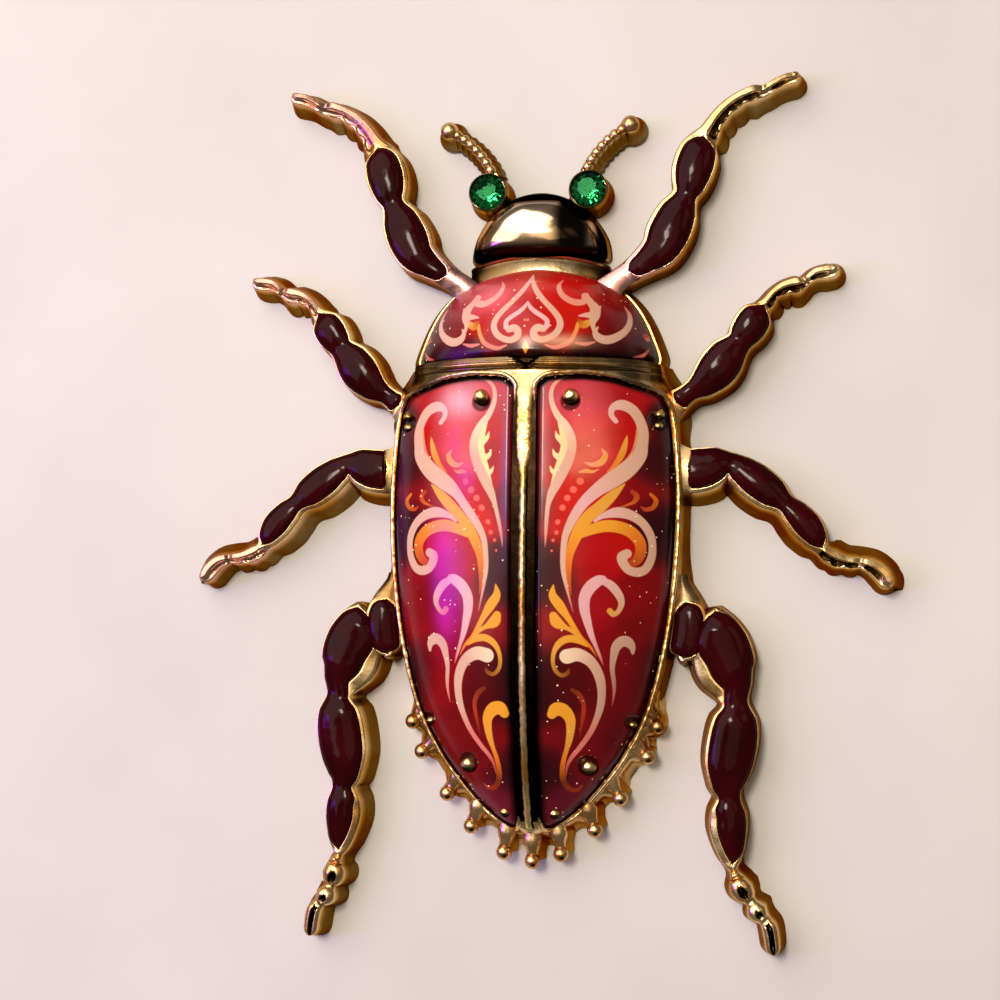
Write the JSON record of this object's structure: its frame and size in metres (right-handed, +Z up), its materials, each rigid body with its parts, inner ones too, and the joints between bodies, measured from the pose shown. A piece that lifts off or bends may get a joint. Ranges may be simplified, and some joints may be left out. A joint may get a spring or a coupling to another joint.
{
  "type": "insect brooch",
  "caption": "Beetle brooch with enamelled legs, scroll-printed domed wing cases, green cut-stone eyes and a beaded tail, pinned from its hollow back",
  "frame": {"origin": "Centre of the overall box, on the plane that the leg undersides and the shell's edge rest on", "axes": "+X is the beetle's right side as seen from above with its head up, +Y runs from tail to head, +Z points up out of the back"},
  "size_m": [0.0566, 0.069, 0.0087],
  "materials": {
    "gold": "bright plated, fine cast texture",
    "printed_shell": "clear-coated print with fine glitter",
    "enamel": "high gloss",
    "green_stone": "faceted, foil backed",
    "pin_steel": "plain"
  },
  "bodies": {
    "root": {"casting": "gold", "wing_case_left": "printed_shell", "wing_case_right": "printed_shell", "thorax_shield": "printed_shell", "enamel_front_left": "enamel", "enamel_front_right": "enamel", "enamel_second_left": "enamel", "enamel_second_right": "enamel", "enamel_third_left": "enamel", "enamel_third_right": "enamel", "enamel_rear_left": "enamel", "enamel_rear_right": "enamel", "eye_stone_left": "green_stone", "eye_stone_right": "green_stone", "pin_back": "pin_steel"}
  },
  "joints": []
}
